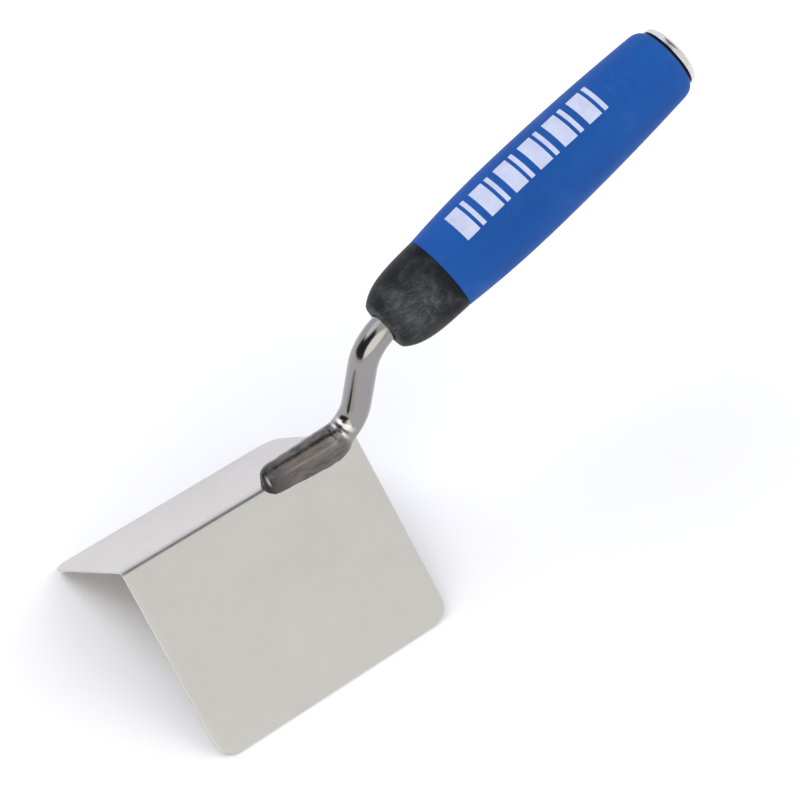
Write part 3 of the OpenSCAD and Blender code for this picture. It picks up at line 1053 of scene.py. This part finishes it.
def studio_dome():
    """A pale dome of light with the sky's patches mixed into it, one over another."""
    world = bpy.data.worlds.new("studio")
    world.use_nodes = True
    tree = world.node_tree
    way = add_node(tree, "TexCoord", {}).outputs["Generated"]
    below = (*SKY, 1.0)
    for direction, inner, outer, tint in SKY_PATCHES:
        layer = {0: patch(tree, way, direction, inner, outer), 6: below, 7: (*tint, 1.0)}
        below = add_node(tree, "Mix", layer, data_type="RGBA").outputs[2]
    tree.links.new(below, tree.nodes["Background"].inputs["Color"])
    return world


def soft_light(name, place, aim):
    """A large soft light that faces the aim and doesn't show in reflections."""
    light = bpy.data.lights.new(name, "AREA")
    light.shape, light.size, light.energy = "DISK", LIGHT_SIZE, LIGHT_POWER
    lamp = new_object(name, light)
    lamp.visible_glossy = False
    lamp.location = place
    lamp.rotation_mode = "QUATERNION"
    lamp.rotation_quaternion = (aim - place).to_track_quat("-Z", "Y")


def pale_floor(tone, level):
    """A square of matt floor at a level, with a faint cloudiness."""
    mesh = bpy.data.meshes.new("floor")
    mesh.from_pydata([(x * FLOOR_REACH, y * FLOOR_REACH, level) for x, y in
                      ((-1, -1), (1, -1), (1, 1), (-1, 1))], [], [(0, 1, 2, 3)])
    paint = Finish("pale_floor", Specular_IOR_Level=0.1, Roughness=0.9)
    cloudy = paint.blend(paint.noise(120, 2), tone, shade(tone, 0.985))
    mesh.materials.append(paint.done(Base_Color=cloudy))
    floor = new_object("floor", mesh)


def place_camera(stage, middle):
    """A camera that looks along its azimuth and elevation at the aim, and is then rolled."""
    level_reach = math.cos(stage.elevation)
    back = Vector((math.sin(stage.azimuth) * level_reach, -math.cos(stage.azimuth) * level_reach,
                   math.sin(stage.elevation)))
    camera = new_object("camera", bpy.data.cameras.new("camera"))
    camera.data.lens = stage.lens
    camera.data.clip_start, camera.data.clip_end = 0.01, 20.0
    camera.location = middle + Vector(stage.aim) + back * stage.distance
    level = (-back).to_track_quat("-Z", "Y").to_matrix()
    camera.rotation_mode = "QUATERNION"
    camera.rotation_quaternion = (level @ Matrix.Rotation(stage.roll, 3, "Z")).to_quaternion()
    bpy.context.scene.camera = camera


class TROWEL_OT_stage(bpy.types.Operator):
    """Lays the pale floor, sets the soft light and places the camera"""
    bl_idname = "trowel.stage"
    bl_label = "Stage"

    def execute(self, context):
        stage = context.scene.trowel_stage
        low, high = cad_box
        middle = (low + high) / 2
        pale_floor(tuple(stage.floor), low.z)
        context.scene.world = studio_dome()
        context.scene.view_settings.view_transform = "Standard"
        for name, place in LIGHTS.items():
            soft_light(name, middle + Vector(place), middle)
        place_camera(stage, middle)
        return {"FINISHED"}


# ---- the add-on

class TROWEL_PT_pieces(bpy.types.Panel):
    """Lists the trowel's pieces and their sizes"""
    bl_idname = "TROWEL_PT_pieces"
    bl_label = "Outside corner trowel"
    bl_space_type = "VIEW_3D"
    bl_region_type = "UI"
    bl_category = "Trowel"

    def draw(self, context):
        for operator in OPERATORS:
            self.layout.operator(operator.bl_idname)
        for name in GROUPS:
            group = getattr(context.scene, name)
            box = self.layout.box()
            for key in group.__annotations__:
                box.prop(group, key)


OPERATORS = (TROWEL_OT_stage, TROWEL_OT_blade, TROWEL_OT_tang, TROWEL_OT_core, TROWEL_OT_sleeve,
             TROWEL_OT_print, TROWEL_OT_cap)


def register():
    for made in (*GROUPS.values(), *OPERATORS, TROWEL_PT_pieces):
        bpy.utils.register_class(made)
    for name, group in GROUPS.items():
        setattr(bpy.types.Scene, name, bpy.props.PointerProperty(type=group))


def unregister():
    for name in GROUPS:
        delattr(bpy.types.Scene, name)
    for made in (TROWEL_PT_pieces, *OPERATORS[::-1], *list(GROUPS.values())[::-1]):
        bpy.utils.unregister_class(made)


def main():
    """Builds everything."""
    register()
    bpy.ops.trowel.stage()
    bpy.ops.trowel.blade()
    bpy.ops.trowel.tang()
    bpy.ops.trowel.core()
    bpy.ops.trowel.sleeve()
    bpy.ops.trowel.print()
    bpy.ops.trowel.cap()


if __name__ == "__main__":
    main()
